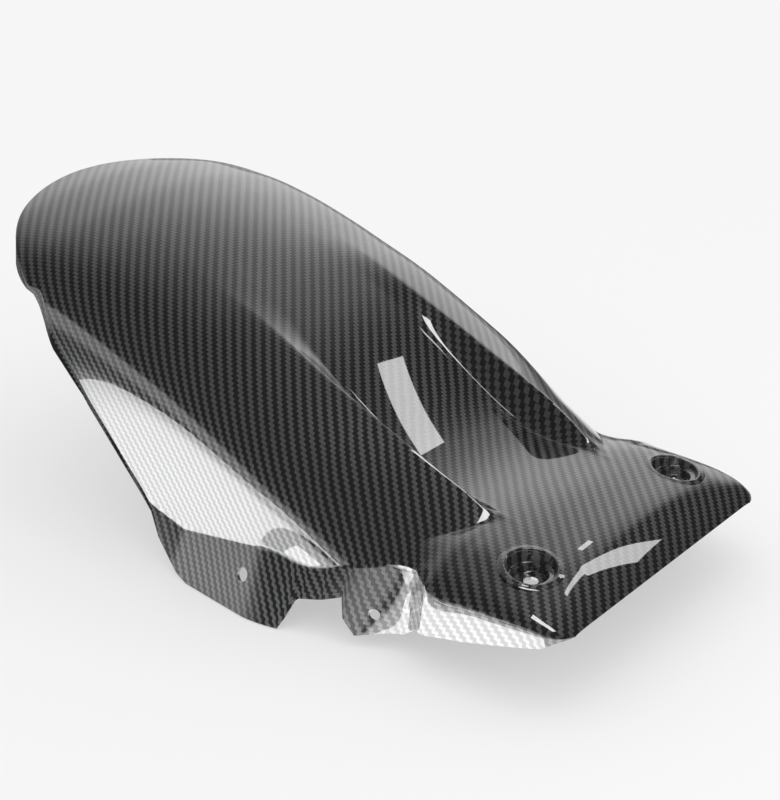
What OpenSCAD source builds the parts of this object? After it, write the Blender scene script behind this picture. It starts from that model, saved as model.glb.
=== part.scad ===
// Rear hugger mudguard for a motorbike: one moulded twill laminate, trimmed and drilled.
// X points to the front of the bike, Y to its left, Z up; the part stands on its two side tabs.
// Inside the file a point is placed by s (distance back from the front lip), y, and z (height over
// the lip's low edge); place() turns that into the shared frame.

/* [Laminate] */
// Thickness of the moulded wall
wall = 2; // [1.2:0.1:3]
// Cells between the lip and the ridge tips
front_cells = 7; // [6:1:8]
// Cells along the arch, from the ridge tips to the nose
arch_cells = 20; // [18:1:22]

/* [Arch over the tyre] */
// Length from the front lip to the end of the nose
arch_len = 490; // [460:1:540]
// Half the width over the flanks
arch_half_w = 127; // [110:1:140]
// Height of the crown over the lip's low edge
crown_h = 145; // [120:1:165]
// Distance back from the lip to the highest point of the crown
crown_at = 440; // [410:1:460]
// Radius of the crown along the tyre
crown_r = 380; // [340:5:440]
// Distance back from the lip where the nose starts to round off
nose_start = 380; // [366:1:392]
// Roundness of the nose in plan, 2 is an ellipse
nose_power = 1.85; // [1.7:0.05:2.4]
// Fall of the flank beside the ridges, in mm per mm
flank_fall = 0.29; // [0.24:0.01:0.36]
// Fall of the crown at the nose, in mm per mm
nose_fall = 0.2; // [0.16:0.01:0.26]
// Height over which a flank turns from the ridge to upright
flank_h = 118; // [95:1:140]

/* [Front plate] */
// Half the width of the plate at the lip
lip_half_w = 99; // [94:1:104]
// Half the width of the plate behind the cups
plate_half_w = 115; // [105:1:120]
// Length of the bevelled front lip, measured back
lip_run = 20; // [14:1:28]
// Height of the bevelled front lip
lip_rise = 14; // [8:1:18]
// Height of the plate at the ridge tips
plate_rise = 25; // [18:1:34]
// Drop of the crowned plate between its middle and the cups
plate_crown = 3.4; // [0:0.1:6]
// Height of the fold along the plate's sides
side_fold_h = 5; // [0:1:12]

/* [Ridges and channel] */
// Distance back from the lip to the ridge tips
tip_at = 83; // [77:1:88]
// Distance between the two ridge tips
tip_gap = 108; // [90:1:124]
// Distance between the two ridges higher up
ridge_gap = 117; // [100:1:130]
// Distance back from the lip where the ridges have faded out
ridge_end = 318; // [290:1:350]
// Length behind the ridge tips over which the channel sinks and eases back
channel_run = 103; // [98:1:108]
// Length ahead of the ridges' end from which the crown is a true arc
crown_lead = 84; // [80:1:90]
// Height of the ridges halfway, over the lip's low edge
ridge_mid_h = 76; // [70:1:82]
// Depth of the channel between the ridges, behind the plate
channel_depth = 26; // [14:1:32]
// Width of the channel's floor
channel_w = 92; // [70:1:98]

/* [Skirts and tabs] */
// Outward flare of the skirts below the crease, in mm per mm
skirt_flare = 0.45; // [0:0.01:0.7]
// Height of the two tabs' lower edges, under the lip's low edge
foot_drop = 45; // [42:1:52]
// Height of the crease over the right tab, under the lip's low edge
crease_drop = 8; // [0:1:16]
// Front end of the right tab, back from the lip
right_tab_front = 173; // [169:1:180]
// Rear end of the right tab's foot, back from the lip
right_tab_rear = 254; // [240:1:262]
// Rear end of the left lobe's foot, back from the lip
left_lobe_rear = 262; // [245:1:275]
// Front end of the left lobe's foot, back from the lip
left_lobe_front = 222; // [205:1:235]
// How far up the rear edge lies where the nose starts
rear_edge_h = 104; // [90:1:116]
// Drop of the plate's side walls, under the lip's low edge
side_drop = 24; // [16:1:32]
// Height of the notch beside the right tab, under the lip's low edge
notch_drop = 26; // [20:1:34]
// Front end of the small tab, back from the lip
small_tab_front = 96; // [93:1:99]
// Rear end of the small tab, back from the lip
small_tab_rear = 138; // [134:1:140]
// Drop of the small tab's lower edge, under the lip's low edge
small_tab_drop = 37; // [34:1:40]

/* [Cups and holes] */
// Distance between the two cups
cup_spacing = 150; // [140:1:160]
// Distance back from the lip to the cups
cup_at = 43; // [38:1:50]
// Diameter over a cup's rounded lip
cup_lip_d = 35; // [32:0.5:40]
// Inner diameter of a cup at its mouth
cup_mouth_d = 28; // [24:0.5:30]
// Inner diameter of a cup's lower step
cup_step_d = 19; // [16:0.5:22]
// Depth of a cup's step under the plate
cup_step_depth = 5; // [3:0.5:7]
// Depth of a cup's floor under the plate
cup_floor_depth = 9; // [7.5:0.5:12]
// Diameter of the hole in a cup's floor
cup_hole_d = 8.5; // [6:0.5:11]
// Diameter of the hole in each side tab
side_hole_d = 8.5; // [6:0.5:11]
// Diameter of the hole in the small tab
small_hole_d = 6.5; // [5:0.5:8]
// Distance back from the lip to the right tab's hole
right_hole_at = 209; // [198:1:220]
// Drop of the right tab's hole, under the lip's low edge
right_hole_drop = 24; // [20:1:28]
// Distance back from the lip to the left lobe's hole
left_hole_at = 241; // [230:1:250]
// Drop of the left lobe's hole, under the lip's low edge
left_hole_drop = 28; // [22:1:31]
// Distance back from the lip to the small tab's hole
small_hole_at = 122; // [116:1:126]
// Drop of the small tab's hole, under the lip's low edge
small_hole_drop = 26; // [23:1:28]

/* [Hidden] */
laminate_tint = [0.07, 0.07, 0.075];
round_fn = 32;
bore_fn = 32;
centre_cells = 4;    // cells from the middle to the channel's wall
wall_cells = 4;      // cells up the channel's wall to the ridge
flank_cells = 6;     // cells from the ridge to the valley
side_cells = 4;      // cells from the valley to the fold
skirt_cells = 3;     // cells from the fold to the lower edge
tip_at_width = 5;    // least distance between a ridge and its valley
valley_run = 45;     // length in which the valley runs from a ridge tip to the side
plate_back = 0.1;    // fall of the plate beside the ridges, in mm per mm
nose_turn = 84;      // how far round the nose the last section lies, in degrees
max_side = 3;        // how far the valley stays inside the flank
tiny = 0.01;

// small helpers

// Index of the knot interval that holds s
function knot_at(kn, s, i = 0) = i >= len(kn) - 2 || s < kn[i + 1][0] ? i : knot_at(kn, s, i + 1);
// Rise of interval i
function rise(kn, i) = (kn[i + 1][1] - kn[i][1]) / (kn[i + 1][0] - kn[i][0]);
// Slope at knot i, harmonic so that the curve never swings past its knots
function slope(kn, i) =
    i == 0 ? rise(kn, 0) : i == len(kn) - 1 ? rise(kn, i - 1) :
    let (a = rise(kn, i - 1), b = rise(kn, i)) a * b <= 0 ? 0 : 2 * a * b / (a + b);
// Smooth curve through the knots [s, value], held at its ends
function curve(kn, s) =
    let (q = min(max(s, kn[0][0]), kn[len(kn) - 1][0]), i = knot_at(kn, q),
         h = kn[i + 1][0] - kn[i][0], t = (q - kn[i][0]) / h)
    kn[i][1] * (2 * pow(t, 3) - 3 * t * t + 1) + kn[i + 1][1] * (3 * t * t - 2 * pow(t, 3))
    + h * slope(kn, i) * (pow(t, 3) - 2 * t * t + t) + h * slope(kn, i + 1) * (pow(t, 3) - t * t);
// Straight lines through the knots
function line(kn, s) =
    let (q = min(max(s, kn[0][0]), kn[len(kn) - 1][0]), i = knot_at(kn, q))
    kn[i][1] + rise(kn, i) * (q - kn[i][0]);
// Soft step from 0 to 1 between a and b
function soft(s, a, b) = let (t = min(max((s - a) / (b - a), 0), 1)) t * t * (3 - 2 * t);

// lines along the length, as functions of s

tip_z = plate_rise - plate_crown * pow(tip_gap / cup_spacing, 2);
mid_at = (tip_at + ridge_end) / 2;
// Crown over the tyre, an arc about the wheel
function crown_z(s) = crown_h - crown_r + sqrt(pow(crown_r, 2) - pow(s - crown_at, 2));
ridge_span = ridge_mid_h - tip_z;
ridge_kn = [[tip_at, tip_z], [tip_at + 12, tip_z + 0.13 * ridge_span],
    [tip_at + 32, tip_z + 0.32 * ridge_span], [tip_at + 57, tip_z + 0.53 * ridge_span],
    [mid_at, ridge_mid_h], [ridge_end - 46, crown_z(ridge_end - 46) - 0.5],
    [ridge_end, crown_z(ridge_end) - 4]];
// Share of the channel's depth, from the ridge tips back
depth_kn = [for (k = [[0.262, 0.54], [0.408, 0.78], [0.563, 0.87], [0.767, 0.81], [1, 0.64]])
    [tip_at + k[0] * channel_run, k[1]]];
centre_kn = concat(
    [[0, 0], [0.45 * lip_run, 0.54 * lip_rise], [lip_run, lip_rise],
     [lip_run + 5, lip_rise + 0.24 * (plate_rise - lip_rise)],
     [lip_run + 14, lip_rise + 0.42 * (plate_rise - lip_rise)], [tip_at + 2, plate_rise]],
    [for (k = depth_kn) [k[0], curve(ridge_kn, k[0]) - channel_depth * k[1]]],
    [for (s = [ridge_end - crown_lead : 36 : arch_len]) [s, crown_z(s)]]);
function centre_z(s) = curve(centre_kn, s);
function plate_z(s, y) = curve(centre_kn, min(s, tip_at + 2)) - max(0, s - tip_at) * plate_back
    - plate_crown * pow(2 * y / cup_spacing, 2) * soft(s, 0, lip_run + 8);
function channel_share(s) = 1 - soft(s, ridge_end - 63, ridge_end + 4);
// Half distance between the ridges
function ridge_y(s) = curve([[0, tip_gap / 2 + 4], [tip_at, tip_gap / 2],
    [tip_at + 45, ridge_gap / 2 - 0.5], [mid_at, ridge_gap / 2]], s);
function fall(s) = curve([[tip_at, flank_fall + 0.3], [tip_at + valley_run, flank_fall + 0.27],
    [right_tab_front, flank_fall + 0.07], [mid_at, flank_fall], [nose_start, nose_fall],
    [arch_len, nose_fall - 0.04]], s);
function ridge_z(s) =
    s <= tip_at ? plate_z(s, ridge_y(s)) :
    let (b = soft(s, ridge_end - 48, ridge_end + 32))
    (1 - b) * curve(ridge_kn, s) + b * (centre_z(s) - fall(s) * ridge_y(s) / 2);
// Half the width over the flanks, and over the plate in front of them
function side_y(s) = curve([[0, lip_half_w], [0.3 * lip_run, lip_half_w + 6],
    [lip_run, lip_half_w + 10], [2 * lip_run, plate_half_w - 3], [tip_at + 7, plate_half_w],
    [mid_at, arch_half_w]], s);
function turn_h(s) = curve([[tip_at, 0.5 * flank_h], [tip_at + valley_run, 0.68 * flank_h],
    [mid_at, 0.93 * flank_h], [ridge_end, 1.06 * flank_h], [nose_start, 0.95 * flank_h],
    [arch_len, 0.7 * flank_h]], s);
// Height of the crease, or of the plate's side fold, on the right (-1) and on the left (1)
rear_run = nose_start - right_tab_rear;
function crease_z(s, side) = curve(side < 0 ?
    [[0, -1], [lip_run, side_fold_h + 1], [2 * lip_run, side_fold_h + 2], [tip_at + 7, side_fold_h],
     [tip_at + valley_run, side_fold_h - 3], [right_tab_front - 25, -crease_drop + 4],
     [right_tab_front - 5, -crease_drop], [right_tab_front + 17, -crease_drop + 4],
     [right_tab_front + 45, -crease_drop], [right_tab_rear + 4, -crease_drop - 7],
     [right_tab_rear + 24, -crease_drop - 10], [nose_start - 14, 0.66 * rear_edge_h],
     [nose_start + 12, rear_edge_h + 4]] :
    [[0, -1], [lip_run, side_fold_h + 1], [2 * lip_run, side_fold_h + 2], [tip_at + 7, side_fold_h],
     [tip_at + valley_run, side_fold_h - 2], [right_tab_front, -2], [left_lobe_front, 1],
     [left_lobe_rear, 0], [left_lobe_rear + 30, 7], [nose_start - 14, 0.67 * rear_edge_h],
     [nose_start + 12, rear_edge_h + 4]], s);
// Lower edge as trimmed, on the right with its notch and small tab, on the left as one smooth line
function edge_z(s, side) = side < 0 ?
    line([[0, -5], [9, -6], [17, -8], [34, -12], [60, -19], [small_tab_front - 4, -side_drop],
     [small_tab_front, -side_drop - 3], [small_tab_front + 8, -small_tab_drop + 3],
     [small_tab_rear - 8, -small_tab_drop - 2], [small_tab_rear, -notch_drop - 4],
     [small_tab_rear + 3, -notch_drop + 7], [right_tab_front - 20, -notch_drop + 3],
     [right_tab_front - 6, -notch_drop], [right_tab_front - 4, -notch_drop - 2],
     [right_tab_front, -foot_drop + 6], [right_tab_front + 3, -foot_drop],
     [right_tab_rear, -foot_drop], [right_tab_rear + 12, -foot_drop + 3],
     [right_tab_rear + 31, -foot_drop + 18], [right_tab_rear + 50, -foot_drop + 41],
     [nose_start - 3, rear_edge_h - 29], [nose_start + 7, rear_edge_h - 12],
     [nose_start + 20, rear_edge_h], [nose_start + 50, rear_edge_h + 7],
     [arch_len, rear_edge_h + 14]], s) :
    curve([[0, -5], [9, -6], [17, -8], [34, -12], [60, -20], [tip_at + 17, -side_drop - 6],
     [right_tab_front - 25, -side_drop - 13], [right_tab_front + 15, -side_drop - 16],
     [left_lobe_front, -foot_drop], [left_lobe_rear, -foot_drop],
     [left_lobe_rear + 28, -foot_drop + 9], [left_lobe_rear + 50, -foot_drop + 28],
     [left_lobe_rear + 66, -foot_drop + 53], [nose_start - 3, rear_edge_h - 29],
     [nose_start + 7, rear_edge_h - 12], [nose_start + 20, rear_edge_h],
     [nose_start + 50, rear_edge_h + 7], [arch_len, rear_edge_h + 14]], s);
function flare(s) = skirt_flare * curve([[60, 0.1], [right_tab_front, 1], [nose_start - 20, 0.9],
    [nose_start + 30, 0.3]], s);
// Half width of the rounded nose
function nose_y(s) = s <= nose_start ? arch_half_w :
    arch_half_w * pow(1 - pow((s - nose_start) / (arch_len - nose_start), nose_power), 1 / nose_power);

// one half section, from the middle to the lower edge

// Crown or channel at distance y from the middle, inside the ridges
function inner_z(s, y) =
    let (c = centre_z(s), ry = ridge_y(s), rz = ridge_z(s), w = channel_share(s),
         fy = channel_half(s), q = min(max((y - fy) / (ry - fy), 0), 1), t = pow(y / ry, 2))
    s <= tip_at ? plate_z(s, y) :
    w * (c + (rz - c) * pow(q, 1.35)) + (1 - w) * (c + (rz - c) * t);
function channel_half(s) = curve([[0, ridge_y(0) - 10], [tip_at, ridge_y(tip_at) - 8],
    [tip_at + 20, channel_w / 2], [mid_at, channel_w / 2], [ridge_end - 60, 0.85 * channel_w / 2],
    [ridge_end + 20, 0.4 * channel_w]], s);
// Flank at share h of its turning height
function flank_m(s) = max(1.05, turn_h(s) / ((side_y(s) - ridge_y(s)) * fall(s)));
function flank_y(s, h) = ridge_y(s) + (side_y(s) - ridge_y(s)) * (1 - pow(1 - min(h, 1), flank_m(s)));
function flank_z(s, h) = ridge_z(s) - turn_h(s) * h;
// Point of the dome at q: below 1 between the ridges, above 1 down the flank
function dome(s, q) = q <= 1 ? [q * ridge_y(s), inner_z(s, q * ridge_y(s))] :
    [flank_y(s, q - 1), flank_z(s, q - 1)];
function dome_q(s, y) = y <= ridge_y(s) ? y / ridge_y(s) :
    2 - pow(1 - min((y - ridge_y(s)) / (side_y(s) - ridge_y(s)), 1), 1 / flank_m(s));

function half_section(s, side) =
    let (ry = ridge_y(s), fy = channel_half(s),
         zb = edge_z(s, side),
         zc = max(crease_z(s, side), zb + 2),
         inner = [for (i = [0 : centre_cells]) fy / ry * i / centre_cells,
                  for (i = [1 : wall_cells]) (fy + (ry - fy) * i / wall_cells) / ry])
    s <= tip_at + valley_run ? plate_half(s, inner, zc, zb) : arch_half(s, side, inner, zc, zb);

// Plate: between the ridges, out to the valley, over the side bulge and down its wall
function plate_half(s, inner, zc, zb) =
    let (ry = ridge_y(s), turned = flank_y(s, (ridge_z(s) - zc) / turn_h(s)),
         sy = side_y(s) + (turned - side_y(s)) * soft(s, tip_at, tip_at + valley_run),
         vy = s <= tip_at ? ry + tip_at_width + (tip_at - s) * 0.25 :
              ry + tip_at_width + (sy - max_side - ry - tip_at_width) * (s - tip_at) / valley_run,
         rz = inner_z(s, ry), vz = plate_z(s, vy))
    concat([for (q = inner) [q * ry, inner_z(s, q * ry)]],
        [for (i = [1 : flank_cells]) let (a = i / flank_cells)
            [ry + (vy - ry) * a, rz + (vz - rz) * a]],
        [for (i = [1 : side_cells]) let (a = i / side_cells, y = vy + (sy - vy) * a, e = pow(a, 3))
            [y, plate_z(s, y) * (1 - e) + zc * e]],
        skirt(s, [sy, zc], zb));

// Arch: over the crown, down the flank to the crease, then the skirt
function arch_half(s, side, inner, zc, zb) =
    let (rz = ridge_z(s), th = turn_h(s), b = soft(s, tip_at + valley_run, right_tab_front + 40),
         zv = (1 - b) * max(plate_z(s, side_y(s)), zc + 2) + b * (zc + 0.45 * (rz - zc)),
         hv = (rz - zv) / th, hc = min((rz - zc) / th, 0.995),
         qs = concat(inner, [for (i = [1 : flank_cells]) 1 + hv * pow(i / flank_cells, 1.5)],
              [for (i = [1 : side_cells]) 1 + hv + (hc - hv) * i / side_cells]),
         full_y = dome(s, qs[len(qs) - 1])[0], k = min(1, nose_y(s) / full_y),
         pts = [for (q = qs) dome(s, k < 1 ? dome_q(s, k * dome(s, q)[0]) : q)],
         last = pts[len(pts) - 1])
    concat(pts, skirt(s, last, min(zb, last[1] - 3)));

// Flared skirt from the crease to the lower edge
function skirt(s, top, zb) = [for (i = [1 : skirt_cells]) let (a = pow(i / skirt_cells, 0.8),
    z = top[1] + (zb - top[1]) * a) [top[0] + flare(s) * (top[1] - z), z]];

// the laminate as one closed skin

nose_cells = 9;
nose_sinks = [0.3, 0.6, 0.9];
nose_blend = 40;
stations = concat(
    [0, 0.3 * lip_run, 0.62 * lip_run, 0.9 * lip_run],
    [for (i = [0 : front_cells - 1]) 1.2 * lip_run + (tip_at - 1.2 * lip_run) * i / front_cells],
    [tip_at, small_tab_front - 4, small_tab_front, small_tab_front + 8, small_tab_front + 18,
     small_tab_front + 26, small_tab_rear - 8, small_tab_rear, small_tab_rear + 3,
     right_tab_front - 27, right_tab_front - 20, right_tab_front - 13, right_tab_front - 6,
     right_tab_front - 4, right_tab_front, right_tab_front + 3],
    [for (i = [1 : arch_cells - nose_cells]) right_tab_front + 3
        + (nose_start - right_tab_front - 3) * i / (arch_cells - nose_cells)],
    [for (i = [1 : nose_cells])
        nose_start + (arch_len - nose_start) * pow(sin(nose_turn * i / nose_cells), 2 / nose_power)]);

function section(s) = let (r = half_section(s, -1), l = half_section(s, 1), n = len(r) - 1)
    concat([for (i = [0 : n]) [-s, -r[n - i][0], r[n - i][1]]],
           [for (i = [1 : n]) [-s, l[i][0], l[i][1]]]);

// The band under the nose's rim is closed across the tip by rows that sink to its lower edge
tip = section(stations[len(stations) - 1]);
function sunk(f) = [for (p = tip) [p[0] - f, p[1], tip[0][2] + (p[2] - tip[0][2]) * (1 - f)]];
skin = concat([for (s = stations) section(s)], [for (f = nose_sinks) sunk(f)]);
rows = len(skin);
cols = len(skin[0]);
function pick(i, j) = skin[min(max(i, 0), rows - 1)][min(max(j, 0), cols - 1)];
// Point of the inner face, one wall thickness under the outer one; round the nose the inner face is
// the outer one drawn in, so that no cell folds over
function unit(v) = v / max(norm(v), tiny);
function under(i, j) =
    let (p = pick(i, j), along = pick(i + 1, j) - pick(i - 1, j),
         n = unit(cross(along, pick(i, j + 1) - p)) + unit(cross(along, p - pick(i, j - 1))),
         on_dome = i < rows - len(nose_sinks) && min(j, cols - 1 - j) >= skirt_cells,
         w = soft(-p[0], nose_start, nose_start + nose_blend))
    p + wall * ((1 - w) * unit(n) + w * [(-p[0] - nose_start) / (arch_len - nose_start),
                                         -p[1] / arch_half_w, on_dome ? -1 : 0]);
// Two triangles for a cell, turned over for the inner face
function cell(a, b, c, d, flip) = flip ? [[a, c, b], [a, d, c]] : [[a, b, c], [a, c, d]];

module laminate() {
    face = rows * cols;
    points = concat([for (i = [0 : rows - 1], j = [0 : cols - 1]) skin[i][j]],
                    [for (i = [0 : rows - 1], j = [0 : cols - 1]) under(i, j)]);
    skins = [for (i = [0 : rows - 2], j = [0 : cols - 2], k = [0, 1])
        each cell(k * face + i * cols + j, k * face + (i + 1) * cols + j,
                  k * face + (i + 1) * cols + j + 1, k * face + i * cols + j + 1, k == 1)];
    ends = [for (j = [0 : cols - 2], i = [0, rows - 1])
        each cell(i * cols + j, i * cols + j + 1, face + i * cols + j + 1, face + i * cols + j, i > 0)];
    sides = [for (i = [0 : rows - 2], j = [0, cols - 1])
        each cell(i * cols + j, (i + 1) * cols + j, face + (i + 1) * cols + j, face + i * cols + j,
                  j == 0)];
    polyhedron(points, concat(skins, ends, sides), convexity = 10);
}

// cups and holes

cup_pitch = atan((centre_z(cup_at + 1) - centre_z(cup_at - 1)) / 2);
cup_roll = atan(4 * plate_crown / cup_spacing);
lip_h = 0.7;         // height of a cup's rounded lip over the plate
lip_sunk = 0.6 * wall; // how deep the lip's ring lies in the plate's wall
lip_in = 0.6;        // how far the lip's ring stays back from the mouth
reach = 12;          // how far a cutter reaches past the wall

// Place of a cup; its recess is drawn straight up, as a mould lets it go
module at_cup(side) {
    translate([-cup_at, side * cup_spacing / 2, plate_z(cup_at, cup_spacing / 2)]) children();
}
// Slope of the plate at a cup
module on_plate(side) rotate([-side * cup_roll, cup_pitch, 0]) children();

// Rounded lip that lies on the crowned plate
module cup_lip(side) {
    on_plate(side) rotate_extrude($fn = round_fn)
        polygon([[cup_mouth_d / 2 + lip_in, -lip_sunk], [cup_lip_d / 2, -lip_sunk],
                 [cup_lip_d / 2 - 1.5, lip_h], [cup_mouth_d / 2 + lip_in + 1, lip_h * 0.6],
                 [cup_mouth_d / 2 + lip_in, -lip_h]]);
}

// Stepped recess under the plate, cut off level with the plate's face
module cup_body(side) {
    m = cup_mouth_d / 2;
    t = cup_step_d / 2;
    difference() {
        rotate_extrude($fn = round_fn)
            polygon([[m, reach / 3], [m, -cup_step_depth], [t, -cup_step_depth - 0.6],
                     [t, -cup_floor_depth], [0, -cup_floor_depth], [0, -cup_floor_depth - wall],
                     [t + wall, -cup_floor_depth - wall], [t + wall, -cup_step_depth - wall],
                     [m + wall, -cup_step_depth - wall], [m + wall, reach / 3]]);
        on_plate(side) translate([0, 0, -(lip_h + lip_sunk) / 2])
            cylinder(h = reach, d = 2 * cup_lip_d, $fn = round_fn);
    }
}

// Distance of a skirt's face from the middle, at height z
function skirt_y(s, side, z) =
    let (h = half_section(s, side), top = h[len(h) - 1 - skirt_cells])
    top[0] + flare(s) * (top[1] - z);

// Drill for a hole square to a skirt
module skirt_drill(s, side, z, d) {
    translate([-s, side * skirt_y(s, side, z), z])
        rotate([-side * (90 - atan(flare(s))), 0, 0])
            cylinder(h = 2 * reach, d = d, center = true, $fn = bore_fn);
}

// the part

// Moves the model so that its origin lies under the middle of the box, on the table
module place() translate([arch_reach / 2, 0, foot_drop + foot_tilt]) children();
arch_reach = -skin[rows - 1][0][0];
foot_tilt = wall * sin(atan(skirt_flare)); // the tabs' edges are cut square to their wall

module hugger_shell() {
    color(laminate_tint) place() difference() {
        union() {
            difference() {
                laminate();
                for (side = [-1, 1]) at_cup(side)
                    cylinder(h = 2 * reach, d = cup_mouth_d + wall, center = true, $fn = round_fn);
            }
            for (side = [-1, 1]) at_cup(side) {
                cup_lip(side);
                cup_body(side);
            }
        }
        for (side = [-1, 1]) at_cup(side)
            translate([0, 0, -cup_floor_depth - reach / 2])
                cylinder(h = reach, d = cup_hole_d, $fn = bore_fn);
        skirt_drill(right_hole_at, -1, -right_hole_drop, side_hole_d);
        skirt_drill(left_hole_at, 1, -left_hole_drop, side_hole_d);
        skirt_drill(small_hole_at, -1, -small_hole_drop, small_hole_d);
    }
}

hugger_shell();
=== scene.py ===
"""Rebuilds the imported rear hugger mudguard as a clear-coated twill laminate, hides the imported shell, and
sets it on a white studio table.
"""
import logging
import math
from contextlib import contextmanager
from dataclasses import dataclass, field
from enum import Enum
from typing import Callable, Dict, Iterator, List, Optional, Sequence, Tuple, Union

import bpy
import numpy as np
from mathutils import Matrix, Vector


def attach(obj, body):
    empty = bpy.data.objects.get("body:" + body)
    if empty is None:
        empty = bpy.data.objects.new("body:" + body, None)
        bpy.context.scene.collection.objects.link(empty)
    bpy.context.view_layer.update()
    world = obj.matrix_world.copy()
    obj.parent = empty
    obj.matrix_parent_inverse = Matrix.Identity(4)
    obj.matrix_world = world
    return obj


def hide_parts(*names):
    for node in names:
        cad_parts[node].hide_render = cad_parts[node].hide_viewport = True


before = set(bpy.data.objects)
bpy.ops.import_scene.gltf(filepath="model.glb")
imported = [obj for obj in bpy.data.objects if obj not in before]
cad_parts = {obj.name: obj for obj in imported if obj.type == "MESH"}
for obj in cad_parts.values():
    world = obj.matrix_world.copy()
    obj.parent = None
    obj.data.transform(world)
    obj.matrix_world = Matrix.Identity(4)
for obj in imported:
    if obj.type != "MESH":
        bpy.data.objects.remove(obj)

LOG = logging.getLogger("hugger")
MM = 0.001
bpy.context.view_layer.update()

Pair = Tuple[float, float]
Triple = Tuple[float, float, float]
Value = Union["Wire", int, float]
Colour = Union["Wire", Triple]
Body = bpy.types.Object


class Side(Enum):
    """The two sides of the bike, as the sign of Y."""

    RIGHT = -1
    LEFT = 1


# Curves along the part.


class Curve:
    """A smooth curve through knots that never swings past them, eased so that gloss runs fair."""

    STEP = 0.5
    MARGIN = 60.0

    def __init__(self, knots: Sequence[Pair], ease: float = 0.0, run_on: bool = False) -> None:
        """Tabulates the curve.

        Args:
            knots: pairs of place and value, in rising order of place.
            ease: spread of the smoothing along the curve, in mm.
            run_on: True goes on at the end slopes, False holds the end values.
        """
        x, y = np.array(knots, float).T
        rise = np.diff(y) / np.diff(x)
        slope = np.concatenate([rise[:1], np.zeros(len(x) - 2), rise[-1:]])
        same = rise[:-1] * rise[1:] > 0
        slope[1:-1][same] = (2 * rise[:-1] * rise[1:])[same] / (rise[:-1] + rise[1:])[same]
        self.places = np.arange(x[0] - self.MARGIN, x[-1] + self.MARGIN, self.STEP)
        q = np.clip(self.places, x[0], x[-1])
        i = np.clip(np.searchsorted(x, q, "right") - 1, 0, len(x) - 2)
        h = x[i + 1] - x[i]
        t = (q - x[i]) / h
        value = (y[i] * (2 * t**3 - 3 * t**2 + 1) + y[i + 1] * (3 * t**2 - 2 * t**3)
                 + h * slope[i] * (t**3 - 2 * t**2 + t) + h * slope[i + 1] * (t**3 - t**2))
        if run_on:
            value = value + np.where(self.places < x[0], slope[0] * (self.places - x[0]), 0)
            value = value + np.where(self.places > x[-1], slope[-1] * (self.places - x[-1]), 0)
        self.values = eased(value, ease / self.STEP)

    def __call__(self, s: np.ndarray) -> np.ndarray:
        """Returns the curve's value at each place s."""
        return np.interp(s, self.places, self.values)


def eased(values: np.ndarray, spread: float) -> np.ndarray:
    """Smooths a row of numbers with a bell-shaped window.

    Args:
        values: the numbers, along the first axis.
        spread: the window's spread, in steps.

    Returns:
        The smoothed numbers, as many as went in.
    """
    if spread <= 0:
        return values
    reach = int(math.ceil(3 * spread))
    bell = np.exp(-0.5 * (np.arange(-reach, reach + 1) / spread) ** 2)
    bell /= bell.sum()
    head = 2 * values[:1] - values[reach:0:-1]
    tail = 2 * values[-1:] - values[-2:-reach - 2:-1]
    long = np.concatenate([head, values, tail])
    flat = long.reshape(len(long), -1)
    out = np.stack([np.convolve(column, bell, "valid") for column in flat.T], axis=-1)
    return out.reshape(values.shape)


def soft(s: np.ndarray, start: float, end: float) -> np.ndarray:
    """Returns a soft step from 0 at start to 1 at end."""
    t = np.clip((s - start) / (end - start), 0, 1)
    return t * t * (3 - 2 * t)


def faired(places: np.ndarray, values: np.ndarray, spread: float) -> np.ndarray:
    """Fairs values that stand at uneven places, with a straight line fitted through each one's neighbours.

    Args:
        places: where the rows stand.
        values: the rows.
        spread: the window's spread, in the places' unit.

    Returns:
        The faired rows.
    """
    off = places[None, :] - places[:, None]
    weight = np.exp(-0.5 * (off / spread) ** 2) * np.gradient(places)[None, :]
    s0, s1, s2 = (np.sum(weight * off**k, axis=1, keepdims=True) for k in range(3))
    weight = weight * (s2 - s1 * off) / (s0 * s2 - s1**2)
    return np.tensordot(weight, values, 1)


def dense(cells: int, power: float) -> np.ndarray:
    """Returns shares from above 0 to 1 in one row, closer together at both ends."""
    t = np.linspace(0, 1, cells + 1)[None, 1:] ** power
    return t / (t + (1 - np.linspace(0, 1, cells + 1)[None, 1:]) ** power)


def mixed(a: np.ndarray, b: np.ndarray, share: np.ndarray) -> np.ndarray:
    """Returns a where share is 0 and b where it is 1."""
    return a + (b - a) * share


def rounded(points: np.ndarray, share: np.ndarray, passes: int) -> None:
    """Rounds a strip of a grid across its columns, in place.

    Args:
        points: the strip's points by row and column; its outer columns stay.
        share: how much of the rounding each row takes.
        passes: how many times each point moves towards its two neighbours.
    """
    for _ in range(passes):
        across = (points[:, :-2] + 2 * points[:, 1:-1] + points[:, 2:]) / 4
        points[:, 1:-1] = mixed(points[:, 1:-1], across, share)


# The laminate's form.


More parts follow.
